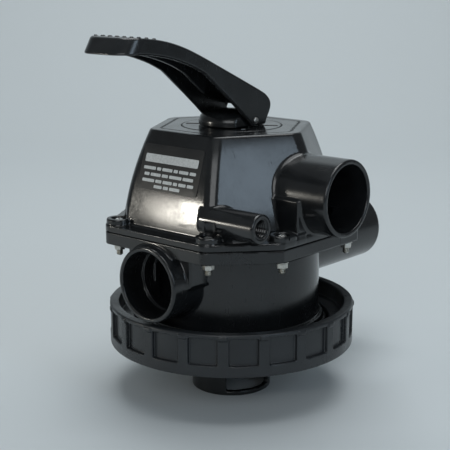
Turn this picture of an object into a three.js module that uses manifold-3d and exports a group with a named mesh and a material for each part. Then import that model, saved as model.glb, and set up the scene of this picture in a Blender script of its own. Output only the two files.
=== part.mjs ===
// Top-mount multiport valve for a pool sand filter: a rotary diverter valve with a lever,
// a cover with the pump port, a body with two more ports and a union nut for the tank neck.
// Millimetres, +Z up. Origin: valve axis at the sealing face that rests on the tank neck.
// +X is the pump port's direction, -Y the short body port, +Y the long body port.
import * as THREE from "three";
import { mergeVertices } from "three/addons/utils/BufferGeometryUtils.js";
import Module from "manifold-3d";

// ---- driving dimensions (heights are above the end of the centre tube) ----
const SEAT_Z = 46.3; // sealing face of the tank adapter
const GAP = 0.3; // running or assembly gap between touching pieces

const NUT_R = 95, NUT_BOTTOM = 38.6, NUT_TOP = 70.8, NUT_RIM_R = 87.9;
const NUT_LIP_LOW = 53.4, NUT_LIP_HIGH = 58.0, NUT_LIP_R = 76.2, NUT_SKIRT_R = 85.2, NUT_THREAD_R = 83.2;
const NUT_RIBS = 20, NUT_POCKET_DEPTH = 2.6, NUT_POCKET_LOW = 47.6, NUT_POCKET_HIGH = 67.6;

const TUBE_R = 31, TUBE_BORE_R = 27;
const ADAPTER_R = 81.5, ADAPTER_TOP = 52.7;

const BARREL_R = 68.15, BARREL_BORE_R = 62, BARREL_LOW = 53.0;
const BODY_FLANGE_LOW = 122, BODY_FLANGE_TOP = 131.2;
const FLANGE_HALF = 87, FLANGE_CORNER = 45, FLANGE_ROUND = 10.1;
const BODY_PORT_Z = 100.6, BODY_PORT_R = 28.1, BODY_PORT_BORE_R = 24.4;
const SHORT_PORT_END = 94.2, LONG_PORT_END = 166.2;

const COVER_LOW = BODY_FLANGE_TOP + GAP, COVER_FLANGE_TOP = 136.3, COVER_TOP = 206.7;
const BOSS_R = 9.4, BOSS_TOP = 141, BOLT_R = 2.5;
const DOME = [[131.5, 86.0], [142.6, 84.4], [151, 82.0], [160, 80.2], [168.8, 78.2], [177.8, 75.8], [186.6, 72.8], [195.4, 69.4], [202.5, 66.2], [206.7, 63.6]];
const COVER_WALL = 6;
const PUMP_PORT_Z = 163.9, PUMP_PORT_R = 28.1, PUMP_PORT_BORE_R = 24.4, PUMP_PORT_END = 108.85;
const GAUGE_Y = -65, GAUGE_Z = 149.6, GAUGE_R = 10.4, GAUGE_END = 83, GAUGE_BORE_R = 6.3;

const DISC_R = 37.8, DISC_LOW = 203.6, DISC_TOP = 206.9;
const STEM_R = 12.2, STEM_BORE_R = 12.7;
const PIN_Z = 211.7, PIN_Y = 1.0, PIN_R = 2.4, LEVER_HALF = 23, LEVER_WALL = 3.6;
const FORK_INNER = LEVER_HALF - LEVER_WALL;

// ---- solids ----
const wasm = await Module();
wasm.setup();
const deg = Math.PI / 180;

function solid(geometry) {
  const g = geometry.index ? geometry.toNonIndexed() : geometry.clone();
  g.deleteAttribute("normal");
  g.deleteAttribute("uv");
  const m = mergeVertices(g, 1e-4);
  const tri = [];
  const p = m.attributes.position, ix = m.index.array;
  for (let i = 0; i < ix.length; i += 3) {
    if (ix[i] !== ix[i + 1] && ix[i + 1] !== ix[i + 2] && ix[i] !== ix[i + 2]) tri.push(ix[i], ix[i + 1], ix[i + 2]);
  }
  const make = (t) => new wasm.Manifold(new wasm.Mesh({ numProp: 3, vertProperties: new Float32Array(p.array), triVerts: new Uint32Array(t) }));
  let s = make(tri);
  if (s.volume() < 0) {
    for (let i = 0; i < tri.length; i += 3) [tri[i + 1], tri[i + 2]] = [tri[i + 2], tri[i + 1]];
    s = make(tri);
  }
  return s;
}
function geometryOf(s) {
  const m = s.getMesh(), n = m.numProp, v = new Float32Array(m.numVert * 3);
  for (let i = 0; i < m.numVert; i++) v.set(m.vertProperties.subarray(i * n, i * n + 3), i * 3);
  const g = new THREE.BufferGeometry();
  g.setAttribute("position", new THREE.BufferAttribute(v, 3));
  g.setIndex(new THREE.BufferAttribute(new Uint32Array(m.triVerts), 1));
  return g;
}
const flat = (g) => { const n = g.index ? g.toNonIndexed() : g; n.computeVertexNormals(); return n; };

// a closed profile of [radius, height] pairs turned about Z
function turned(profile, segments = 48, turn = 0) {
  const pts = profile.map(([r, z]) => new THREE.Vector2(r, z));
  pts.push(pts[0].clone());
  const g = new THREE.LatheGeometry(pts, segments);
  g.rotateX(Math.PI / 2);
  g.rotateZ(turn);
  return solid(g);
}
const rod = (r, z0, z1, segments = 28) => turned([[0, z0], [r, z0], [r, z1], [0, z1]], segments);
const ring = (r0, r1, z0, z1, segments = 48) => turned([[r0, z0], [r1, z0], [r1, z1], [r0, z1]], segments);
function box(x0, x1, y0, y1, z0, z1) {
  const g = new THREE.BoxGeometry(x1 - x0, y1 - y0, z1 - z0);
  g.translate((x0 + x1) / 2, (y0 + y1) / 2, (z0 + z1) / 2);
  return solid(g);
}
function prism(points, z0, z1) {
  const g = new THREE.ExtrudeGeometry(new THREE.Shape(points.map(([x, y]) => new THREE.Vector2(x, y))), { depth: z1 - z0, bevelEnabled: false });
  g.translate(0, 0, z0);
  return solid(g);
}
// a rod or ring made along Z, laid along a horizontal direction at a height
function laid(s, angle, x, y, z) {
  return s.rotate([0, 90, 0]).rotate([0, 0, angle]).translate([x, y, z]);
}
function sector(r0, r1, a0, a1, z0, z1, steps = 6) {
  const pts = [];
  for (let i = 0; i <= steps; i++) { const a = (a0 + ((a1 - a0) * i) / steps) * deg; pts.push([r1 * Math.cos(a), r1 * Math.sin(a)]); }
  for (let i = steps; i >= 0; i--) { const a = (a0 + ((a1 - a0) * i) / steps) * deg; pts.push([r0 * Math.cos(a), r0 * Math.sin(a)]); }
  return prism(pts, z0, z1);
}
function hexStack(levels) {
  const pos = [], idx = [];
  levels.forEach(([z, r]) => { for (let k = 0; k < 6; k++) pos.push(r * Math.cos(k * 60 * deg), r * Math.sin(k * 60 * deg), z); });
  const n = levels.length;
  for (let l = 0; l < n - 1; l++) for (let k = 0; k < 6; k++) {
    const a = l * 6 + k, b = l * 6 + ((k + 1) % 6), c = a + 6, d = b + 6;
    idx.push(a, b, d, a, d, c);
  }
  for (let k = 1; k < 5; k++) { idx.push(0, k + 1, k); idx.push((n - 1) * 6, (n - 1) * 6 + k, (n - 1) * 6 + k + 1); }
  const g = new THREE.BufferGeometry();
  g.setAttribute("position", new THREE.Float32BufferAttribute(pos, 3));
  g.setIndex(idx);
  return solid(g);
}
const rAt = (z) => { for (let i = 0; i < DOME.length - 1; i++) if (z <= DOME[i + 1][0]) { const t = (z - DOME[i][0]) / (DOME[i + 1][0] - DOME[i][0]); return DOME[i][1] + t * (DOME[i + 1][1] - DOME[i][1]); } return DOME.at(-1)[1]; };
const union = (...s) => s.reduce((a, b) => a.add(b));
const cut = (s, ...c) => c.reduce((a, b) => a.subtract(b), s);

// the flange outline: a hexagon with rounded corners round the bolts, squared off under the pump port
const bolts = [[44.6, -76.9], [80.5, -39], [80.5, 39], [44.6, 76.9], [-44.6, 76.9], [-88.6, 0], [-44.6, -76.9]];
const flangeOutline = (() => {
  const pts = [[FLANGE_HALF, -FLANGE_CORNER], [FLANGE_HALF, FLANGE_CORNER]];
  const corner = (x, y, from, to) => { for (let i = 0; i <= 4; i++) { const a = (from + ((to - from) * i) / 4) * deg; pts.push([x + FLANGE_ROUND * Math.cos(a), y + FLANGE_ROUND * Math.sin(a)]); } };
  corner(44.6, 76.9, 38, 90);
  corner(-44.6, 76.9, 90, 150);
  corner(-88.6, 0, 150, 210);
  corner(-44.6, -76.9, 210, 270);
  corner(44.6, -76.9, 270, 322);
  return pts;
})();

// ---- materials ----
const plastic = (name, color = 0x0c0d0e, roughness = 0.22) => new THREE.MeshStandardMaterial({ name, color, roughness, metalness: 0 });
const steel = (name, color = 0xb4b0a4) => new THREE.MeshStandardMaterial({ name, color, roughness: 0.35, metalness: 0.9 });
const rubber = (name) => new THREE.MeshStandardMaterial({ name, color: 0x161616, roughness: 0.8, metalness: 0 });

const group = new THREE.Group();
const valve = new THREE.Group();
valve.position.z = -SEAT_Z;
group.add(valve);
function add(name, shape, material, parent = valve, place = [0, 0, 0]) {
  const m = new THREE.Mesh(flat(shape.isBufferGeometry ? shape : geometryOf(shape)), material);
  m.name = name;
  m.position.set(...place);
  parent.add(m);
  return m;
}

// ---- tank adapter: sealing flange with the centre tube and its side window ----
{
  let s = turned([[TUBE_BORE_R, 0], [TUBE_R, 0], [TUBE_R, SEAT_Z], [69.5, SEAT_Z], [69.5, SEAT_Z + 2.6], [74.7, SEAT_Z + 2.6], [74.7, SEAT_Z], [ADAPTER_R, SEAT_Z], [ADAPTER_R, ADAPTER_TOP], [TUBE_BORE_R, ADAPTER_TOP]], 42);
  // six flow slots outside the tube let water pass between the tank and the body
  for (let k = 0; k < 6; k++) s = s.subtract(sector(37, 60, k * 60 + 12, k * 60 + 48, SEAT_Z - 1, ADAPTER_TOP + 1, 3));
  s = s.subtract(sector(TUBE_BORE_R - 6, TUBE_R + 4, 303, 380, 3.6, 20, 6));
  add("tank_adapter", s, plastic("tank_adapter"));
}

// ---- tank neck seal ----
function oRing(R, r, z, segments = 40, sides = 8) {
  const pts = [];
  for (let i = 0; i < sides; i++) pts.push([R + r * Math.cos((i * 2 * Math.PI) / sides), z + r * Math.sin((i * 2 * Math.PI) / sides)]);
  return turned(pts, segments);
}
add("tank_neck_o_ring", oRing(72.1, 1.7, 0, 36, 5), rubber("tank_neck_o_ring"), valve, [0, 0, 47.0]);

// ---- union nut: ribbed collar with an inner lip over the adapter flange ----
{
  let s = turned([
    [NUT_SKIRT_R, NUT_BOTTOM], [NUT_R - 1.2, NUT_BOTTOM], [NUT_R, NUT_BOTTOM + 1.2], [NUT_R, NUT_TOP - 1.0], [NUT_R - 1.0, NUT_TOP], [NUT_RIM_R, NUT_TOP],
    [NUT_RIM_R, NUT_LIP_HIGH], [NUT_LIP_R, NUT_LIP_HIGH], [NUT_LIP_R, NUT_LIP_LOW], [NUT_SKIRT_R, NUT_LIP_LOW - 0.4],
    [NUT_SKIRT_R, 46.6], [NUT_THREAD_R, 45.4], [NUT_SKIRT_R, 44.2], [NUT_SKIRT_R, 42.4], [NUT_THREAD_R, 41.2], [NUT_SKIRT_R, 40.0]], 54);
  for (let k = 0; k < NUT_RIBS; k++) {
    const a = 307 + k * 18;
    s = s.subtract(sector(NUT_R - NUT_POCKET_DEPTH, NUT_R + 3, a + 2.5, a + 15.5, NUT_POCKET_LOW, NUT_POCKET_HIGH, 2));
  }
  add("union_nut", s, plastic("union_nut", 0x1a1c1e, 0.38));
}

// ---- valve body ----
{
  const short = laid(rod(BODY_PORT_R, 50, SHORT_PORT_END, 32), 270, 0, 0, BODY_PORT_Z);
  const long = laid(rod(BODY_PORT_R, 50, LONG_PORT_END, 32), 90, 0, 0, BODY_PORT_Z);
  let s = union(
    turned([[0, BARREL_LOW], [71.5, BARREL_LOW], [74.6, BARREL_LOW + 0.01], [74.6, 57.4], [71.6, 58.2], [71.6, 62.0], [BARREL_R, 63.4], [BARREL_R, 124], [0, 124]], 54),
    prism(flangeOutline, BODY_FLANGE_LOW, BODY_FLANGE_TOP),
    box(-31, 31, -81, -50, BODY_PORT_Z, 124),
    box(-31, 31, 50, 81, BODY_PORT_Z, 124),
    short, long,
  );
  s = cut(s,
    rod(60, 116, 140, 42),
    turned([[61.9, BODY_FLANGE_TOP - 2.9], [67.1, BODY_FLANGE_TOP - 2.9], [67.1, 140], [61.9, 140]], 42), // cover seal groove
    turned([[0, 40], [TUBE_R - 4, 40], [TUBE_R - 4, 78], [0, 78]], 28), // centre passage
  );
  // six chambers under the port plate, parted by radial webs
  for (let k = 0; k < 6; k++) {
    const a = k * 60;
    s = s.subtract(sector(18, 57, a + 5, a + 55, 100, 124, 3)); // plate window and the chamber under it
    s = s.subtract(sector(36, BARREL_BORE_R, a + 3, a + 57, 40, 110, 3));
  }
  s = s.subtract(sector(12, 34, -52, 52, 72, 108, 6)); // the centre passage turns up into two chambers
  // port bores, and their passages through the barrel wall
  s = cut(s,
    laid(rod(BODY_PORT_BORE_R, 66, SHORT_PORT_END + 2, 28), 270, 0, 0, BODY_PORT_Z),
    laid(rod(BODY_PORT_BORE_R, 66, LONG_PORT_END + 2, 28), 90, 0, 0, BODY_PORT_Z),
    box(-20, 20, -70, -56, 80, 109), box(-20, 20, 56, 70, 80, 109),
  );
  for (const [x, y] of bolts) s = s.subtract(rod(BOLT_R + 0.35, 110, 135, 10).translate([x, y, 0]));
  add("valve_body", s, plastic("valve_body"));
}

// ---- seals on the body ----
add("cover_o_ring", oRing(64.5, 1.45, 0, 36, 5), rubber("cover_o_ring"), valve, [0, 0, BODY_FLANGE_TOP - 1.3]);
{
  let s = turned([[13, 0], [59.2, 0], [59.2, 1.7], [13, 1.7]], 36);
  for (let k = 0; k < 6; k++) s = s.subtract(sector(19, 55, k * 60 + 6, k * 60 + 54, -1, 3, 3));
  add("spider_gasket", s, rubber("spider_gasket"), valve, [0, 0, 116.3]);
}

// ---- rotor: diverter disc with one inlet window, bridging dome and stem ----
const ROTOR_LOW = 118.3;
{
  let s = turned([[0, ROTOR_LOW], [58, ROTOR_LOW], [58, 123], [52, 124.4], [46, 132], [24, 143], [20, 151.4], [STEM_R, 151.4],
    [STEM_R, 187.6], [9.4, 187.6], [9.4, 190.8], [STEM_R, 190.8], [STEM_R, 194.6], [9.4, 194.6], [9.4, 197.8], [STEM_R, 197.8], [STEM_R, 215.6], [0, 215.6]], 28);
  s = cut(s,
    sector(17, 70, 124, 176, 110, 150, 6), // inlet window through disc and dome
    sector(17, 50, -56, 116, 117, 122.5, 8), // bridging hollow under the dome
    laid(rod(PIN_R + 0.25, -20, 20, 12), 0, 0, PIN_Y, PIN_Z),
  );
  add("rotor", s, plastic("rotor", 0x101112, 0.35));
}
add("stem_o_ring_lower", oRing(11.05, 1.3, 0, 20, 5), rubber("stem_o_ring_lower"), valve, [0, 0, 189.2]);
add("stem_o_ring_upper", oRing(11.05, 1.3, 0, 20, 5), rubber("stem_o_ring_upper"), valve, [0, 0, 196.2]);

// ---- spring and its two washers ----
add("spring_washer_lower", ring(12.9, 24, 0, 1.4, 24), steel("spring_washer_lower"), valve, [0, 0, 151.8]);
add("spring_washer_upper", ring(12.9, 24, 0, 1.4, 24), steel("spring_washer_upper"), valve, [0, 0, 183.2]);
{
  const R = 18.5, r = 1.9, z0 = 153.6 + r, z1 = 182.8 - r, turns = 4.5;
  class Helix extends THREE.Curve {
    getPoint(t, out = new THREE.Vector3()) {
      const a = t * turns * 2 * Math.PI;
      return out.set(R * Math.cos(a), R * Math.sin(a), z0 + (z1 - z0) * t);
    }
  }
  const section = new THREE.Shape();
  for (let i = 0; i < 6; i++) { const a = (i * Math.PI) / 3; i ? section.lineTo(r * Math.cos(a), r * Math.sin(a)) : section.moveTo(r, 0); }
  section.closePath();
  add("spring", solid(new THREE.ExtrudeGeometry(section, { steps: 54, bevelEnabled: false, extrudePath: new Helix() })), steel("spring", 0x9a9a98));
}

// ---- cover ----
{
  const inner = [[COVER_FLANGE_TOP, rAt(COVER_FLANGE_TOP)], ...DOME.slice(1)].filter(([z]) => z < 200).map(([z, r]) => [z, r - COVER_WALL * 1.1]);
  inner.push([200, rAt(200) - COVER_WALL * 1.3]);
  let s = union(
    prism(flangeOutline, COVER_LOW, COVER_FLANGE_TOP),
    hexStack([[COVER_LOW + 0.5, 86], ...DOME.slice(1)]),
    laid(rod(PUMP_PORT_R, 30, PUMP_PORT_END, 32), 0, 0, 0, PUMP_PORT_Z),
    box(30, FLANGE_HALF - 0.2, -29.5, 29.5, 133, PUMP_PORT_Z),
    laid(rod(GAUGE_R, 30, GAUGE_END, 18), 0, 0, GAUGE_Y, GAUGE_Z),
    prism([[40, -69], [60, -69], [70, -60], [70, -52], [40, -52]], 133, GAUGE_Z),
  );
  for (const [x, y] of bolts) s = s.add(rod(BOSS_R, 133, BOSS_TOP, 18).translate([x, y, 0]).intersect(prism(flangeOutline, 130, 150)));
  for (const [x, y] of [bolts[1], bolts[2]]) s = s.add(box(x - 8, FLANGE_HALF - 0.2, Math.min(y, y * 0.6), Math.max(y, y * 0.6), 133, BOSS_TOP - 1.5));
  s = cut(s, hexStack(inner));
  s = cut(s, rod(61, 120, 138, 42));
  s = s.add(turned([[0, 183.2 + 1.8], [22, 185.0], [24, 201.5], [0, 201.5]], 24));
  s = cut(s,
    rod(DISC_R + 0.45, DISC_LOW - 0.3, 220, 42),
    rod(STEM_BORE_R, 150, 220, 24),
    laid(rod(PUMP_PORT_BORE_R, 50, PUMP_PORT_END + 2, 28), 0, 0, 0, PUMP_PORT_Z),
    box(50, 81, -25, 25, 138.5, 150),
    laid(rod(GAUGE_BORE_R, 54, GAUGE_END + 2, 16), 0, 0, GAUGE_Y, GAUGE_Z),
    laid(rod(2.2, 25, 60, 10), 0, 0, GAUGE_Y + 2.5, GAUGE_Z),
  );
  for (const [x, y] of bolts) s = cut(s, rod(BOLT_R + 0.35, 120, 150, 10).translate([x, y, 0]), rod(5.6, 137, 150, 12).translate([x, y, 0]));
  add("cover", s, plastic("cover"));
}

// ---- index plate in the cover's top recess, with six position slots ----
{
  let s = turned([[STEM_BORE_R + 0.3, 0], [DISC_R, 0], [DISC_R, DISC_TOP - DISC_LOW], [STEM_BORE_R + 0.3, DISC_TOP - DISC_LOW]], 42);
  for (let k = 0; k < 6; k++) {
    const a = 30 + k * 60;
    s = s.subtract(box(26, 34.6, -1.6, 1.6, 1.3, 6).rotate([0, 0, a]));
  }
  add("index_plate", s, plastic("index_plate"), valve, [0, 0, DISC_LOW]);
}

// ---- label plate on the flat of the cover that faces -Y ----
{
  // the -Y flat leans inwards as it rises
  const apothem = (z) => rAt(z) * Math.cos(30 * deg);
  const z0 = 164.8, z1 = 197;
  const lean = Math.atan2(apothem(z0) - apothem(z1), z1 - z0);
  const holder = new THREE.Group();
  const out = Math.max(...[z0, 167, 170, 177.8, 182, 186.6, 190, z1].map((z) => apothem(z) - (apothem(z0) + ((z - z0) / (z1 - z0)) * (apothem(z1) - apothem(z0)))));
  holder.position.set(-1.6, -(apothem(z0) + apothem(z1)) / 2 - (out + 0.3) / Math.cos(lean), (z0 + z1) / 2);
  holder.rotation.x = -lean;
  valve.add(holder);
  const g = new THREE.BoxGeometry(58.8, 0.5, (z1 - z0) / Math.cos(lean));
  g.translate(0, -0.25, 0);
  add("warning_label", solid(g), new THREE.MeshStandardMaterial({ name: "warning_label", color: 0x2a2c2e, roughness: 0.5, metalness: 0 }), holder);
}

// ---- hub between the fork's legs: round, with two flats that the legs straddle ----
{
  let s = turned([[STEM_R + 0.3, 207.3], [24.6, 207.3], [25, 210.2], [24.5, 213.4], [22.8, 216.1], [19.8, 217.9], [15, 218.7], [0, 218.9], [0, 216.0], [STEM_R + 0.3, 216.0]], 32);
  s = s.intersect(solid(new THREE.BoxGeometry(2 * (FORK_INNER - 0.4), 80, 80).translate(0, 0, 213)));
  s = s.subtract(laid(rod(PIN_R + 0.25, -30, 30, 12), 0, 0, PIN_Y, PIN_Z));
  add("stem_hub", s, plastic("stem_hub"));
}
add("lever_pin", laid(rod(PIN_R, -LEVER_HALF - 0.9, LEVER_HALF + 0.9, 16), 0, 0, PIN_Y, PIN_Z), steel("lever_pin"));

// ---- lever: an inverted channel with a central web, forked over the hub, turning on the pin ----
{
  const pivot = new THREE.Group();
  pivot.position.set(0, PIN_Y, PIN_Z);
  valve.add(pivot);
  const low = [[-4.8, 210.2], [-17, 220.8], [-30.8, 232], [-40.7, 239.5], [-48, 245.4], [-54, 249.9], [-64.6, 254.9], [-71.5, 257.5], [-82.7, 261.2], [-93.7, 263.8], [-106.7, 266], [-118, 267], [-142, 267.2]];
  const side = [[-142, 278.6], [-126.2, 278.5], [-115.2, 277.9], [-100, 276], [-90.4, 274.1], [-80.6, 271.5], [-70.6, 268.1], [-60.5, 264], [-50.1, 259.5], [-39.4, 254.7], [-17.4, 244.9], [5.6, 234.6], [12.8, 231.1], [17.4, 227.2], [19.5, 223.2], [18.7, 218.8], [16.3, 214.9], [13.8, 210.8], [13.2, 208.1], [-2.8, 207.9], ...low];
  const across = (pts, x0, x1) => {
    // a profile in the Y-Z plane, extruded along X
    const g = new THREE.ExtrudeGeometry(new THREE.Shape(pts.map(([y, z]) => new THREE.Vector2(y - PIN_Y, z - PIN_Z))), { depth: x1 - x0, bevelEnabled: false });
    g.applyMatrix4(new THREE.Matrix4().makeBasis(new THREE.Vector3(0, 1, 0), new THREE.Vector3(0, 0, 1), new THREE.Vector3(1, 0, 0)));
    g.translate(x0, 0, 0);
    return solid(g);
  };
  // plan of the grip's end: a rounded end that leans back by 0.6 mm for each mm of height
  const plan = (half, end, r) => {
    const pts = [[half, 120]];
    for (let i = 0; i <= 4; i++) pts.push([half - r + r * Math.cos(i * Math.PI / 8), end + r - r * Math.sin(i * Math.PI / 8)]);
    for (let i = 4; i >= 0; i--) pts.push([-half + r - r * Math.cos(i * Math.PI / 8), end + r - r * Math.sin(i * Math.PI / 8)]);
    pts.push([-half, 120]);
    const g = new THREE.ExtrudeGeometry(new THREE.Shape(pts.map(([x, y]) => new THREE.Vector2(x, y - PIN_Y))), { depth: 110, bevelEnabled: false });
    g.translate(0, 0, 190 - PIN_Z);
    g.applyMatrix4(new THREE.Matrix4().set(1, 0, 0, 0, 0, 1, 0.6, -0.6 * (267.5 - PIN_Z), 0, 0, 1, 0, 0, 0, 0, 1));
    return solid(g);
  };
  // hollow: everything below the top skin and between the side walls
  const under = [[-150, 274.9], [-122, 274.7], [-115.2, 274.2], [-100, 272.3], [-90.4, 270.4], [-80.6, 267.8], [-70.6, 264.4], [-60.5, 260.3], [-50.1, 255.8], [-39.4, 251], [-17.4, 241.2], [-12, 238.8], [-12, 195], [-150, 195]];
  const slot = [[-13, 239.2], [1.5, 232.6], [11.4, 228], [14.6, 225.2], [15.9, 222.6], [15.9, 195], [-13, 195]];
  const mouth = [[11, 195], [11, 220.2], [40, 220.2], [40, 195]];
  let s = across(side, -LEVER_HALF, LEVER_HALF).intersect(plan(LEVER_HALF, -135.5, 14));
  const hollow = across(under, -FORK_INNER, FORK_INNER).add(across(slot, -FORK_INNER, FORK_INNER)).add(across(mouth, -FORK_INNER, FORK_INNER));
  s = s.subtract(hollow.intersect(plan(FORK_INNER, -131.9, 10.4)));
  // central web, as deep as the side walls
  s = s.add(across([[-30.8, 247.8], [-40, 251.8], [-50.1, 256.4], [-60.5, 260.9], [-70.6, 265], [-80.6, 268.4], [-90.4, 271], [-100, 272.9], [-115.2, 274.8], [-122, 275.3], [-126, 268.6], [-118, 267.4], [-106.7, 266.4], [-93.7, 264.2], [-82.7, 261.6], [-71.5, 257.9], [-64.6, 255.3], [-54, 250.3], [-48, 245.8], [-40.7, 239.9], [-30.8, 232.4]].reverse(), -1.2, 1.2));
  // grip nubs
  for (const [y, z] of [[-117.6, 278], [-110.5, 277.3], [-103.4, 276.4]])
    for (let i = -3; i <= 3; i++) s = s.add(rod(1.2, z - 1.2 - PIN_Z, z + 0.85 - PIN_Z, 6).translate([6.9 * i, y - PIN_Y, 0]));
  s = s.subtract(laid(rod(PIN_R + 0.25, -40, 40, 12), 0, 0, 0, 0));
  add("lever", s, plastic("lever"), pivot);
}

// ---- cover screws with washers and nuts ----
{
  const screw = geometryOf(turned([[0, 112.6], [2.1, 112.6], [BOLT_R, 113.2], [BOLT_R, 137.3], [4.8, 137.3], [4.8, 139.2], [3.4, 140.5], [0, 140.5]], 8));
  const washer = geometryOf(ring(BOLT_R + 0.4, 5.2, 120.6, 121.7, 10));
  const nut = geometryOf(turned([[0, 116.9], [4.3, 116.9], [4.6, 117.3], [4.6, 120.3], [0, 120.3]], 6).subtract(rod(BOLT_R + 0.3, 110, 125, 12)));
  bolts.forEach(([x, y], i) => {
    add("cover_screw_" + (i + 1), screw, steel("cover_screw_" + (i + 1)), valve, [x, y, 0]);
    add("screw_washer_" + (i + 1), washer, steel("screw_washer_" + (i + 1), 0xc9c2ab), valve, [x, y, 0]);
    add("screw_nut_" + (i + 1), nut, steel("screw_nut_" + (i + 1), 0xc9c2ab), valve, [x, y, 0]);
  });
}

export default group;
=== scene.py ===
# Looks of the top-mount multiport valve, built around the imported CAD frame. Metres, +Z up.
import math
import bpy
import numpy as np
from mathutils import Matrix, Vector


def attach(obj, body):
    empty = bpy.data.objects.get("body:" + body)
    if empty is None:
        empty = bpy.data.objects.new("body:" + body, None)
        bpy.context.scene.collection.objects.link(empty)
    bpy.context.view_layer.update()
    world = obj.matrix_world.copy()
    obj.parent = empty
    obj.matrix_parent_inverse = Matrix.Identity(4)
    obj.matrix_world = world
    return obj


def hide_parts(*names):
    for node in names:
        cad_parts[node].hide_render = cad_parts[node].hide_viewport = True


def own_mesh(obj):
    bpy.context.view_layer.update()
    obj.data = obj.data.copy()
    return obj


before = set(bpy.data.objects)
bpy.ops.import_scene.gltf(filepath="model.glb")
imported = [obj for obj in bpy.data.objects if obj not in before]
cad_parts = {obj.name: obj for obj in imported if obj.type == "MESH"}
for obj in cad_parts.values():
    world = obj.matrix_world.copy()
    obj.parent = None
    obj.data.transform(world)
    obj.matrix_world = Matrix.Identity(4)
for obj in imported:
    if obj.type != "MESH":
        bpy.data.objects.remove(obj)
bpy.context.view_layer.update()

SEAT_Z = 46.3  # the row frame's origin is this far above the end of the centre tube, in mm
rad = math.radians


# ---------------------------------------------------------------- distance fields (mm)
def I(a, b, r):
    """Both, with a convex edge of radius r."""
    if r <= 0:
        return np.maximum(a, b)
    u, v = np.maximum(a + r, 0), np.maximum(b + r, 0)
    return np.minimum(np.maximum(a, b) + r, 0) + np.sqrt(u * u + v * v) - r


def U(a, b, r):
    """Either, with a fillet of radius r."""
    return -I(-a, -b, r)


def D(a, b, r):
    return I(a, -b, r)


def slab(T, lo, hi):
    return np.abs(T - (lo + hi) / 2) - (hi - lo) / 2


def box(X, Y, Z, x0, x1, y0, y1, z0, z1, r=1.0):
    return I(I(slab(X, x0, x1), slab(Y, y0, y1), r), slab(Z, z0, z1), r)


def disc(X, Y, cx, cy, R):
    return np.sqrt((X - cx) ** 2 + (Y - cy) ** 2) - R


def cyl(X, Y, Z, cx, cy, R, z0, z1, r=0.8):
    return I(disc(X, Y, cx, cy, R), slab(Z, z0, z1), r)


def polygon(U_, V_, pts):
    """Signed distance to a closed polygon in a plane."""
    p = np.array(pts, float)
    n = len(p)
    best = None
    inside = None
    for i in range(n):
        a, b = p[i], p[(i + 1) % n]
        e = b - a
        wu, wv = U_ - a[0], V_ - a[1]
        t = np.clip((wu * e[0] + wv * e[1]) / (e @ e), 0, 1)
        du, dv = wu - e[0] * t, wv - e[1] * t
        d = du * du + dv * dv
        best = d if best is None else np.minimum(best, d)
        c1, c2 = V_ >= a[1], V_ < b[1]
        c3 = e[0] * wv > e[1] * wu
        flip = (c1 & c2 & c3) | (~c1 & ~c2 & ~c3)
        inside = flip if inside is None else inside ^ flip
    return np.sqrt(best) * np.where(inside, -1.0, 1.0)


def smooth_polygon(pts, rounds):
    """The polygon with its corners replaced by arcs."""
    p = np.array(pts, float)
    n, out = len(p), []
    rounds = [rounds] * n if np.isscalar(rounds) else rounds
    for i in range(n):
        a, b, c = p[i - 1], p[i], p[(i + 1) % n]
        r = rounds[i]
        u, v = (a - b) / np.linalg.norm(a - b), (c - b) / np.linalg.norm(c - b)
        half = math.acos(max(-1, min(1, float(u @ v)))) / 2
        if r <= 0 or half > math.pi / 2 - 0.02:
            out.append(tuple(b))
            continue
        t = min(r / math.tan(half), 0.48 * np.linalg.norm(a - b), 0.48 * np.linalg.norm(c - b))
        rr = t * math.tan(half)
        m = (u + v) / np.linalg.norm(u + v)
        centre = b + m * (rr / math.sin(half))
        s, e = b + u * t - centre, b + v * t - centre
        a0, a1 = math.atan2(s[1], s[0]), math.atan2(e[1], e[0])
        d = (a1 - a0 + math.pi) % (2 * math.pi) - math.pi
        k = max(2, int(abs(d) / 0.2) + 1)
        for j in range(k + 1):
            q = a0 + d * j / k
            out.append((centre[0] + rr * math.cos(q), centre[1] + rr * math.sin(q)))
    return out


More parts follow.
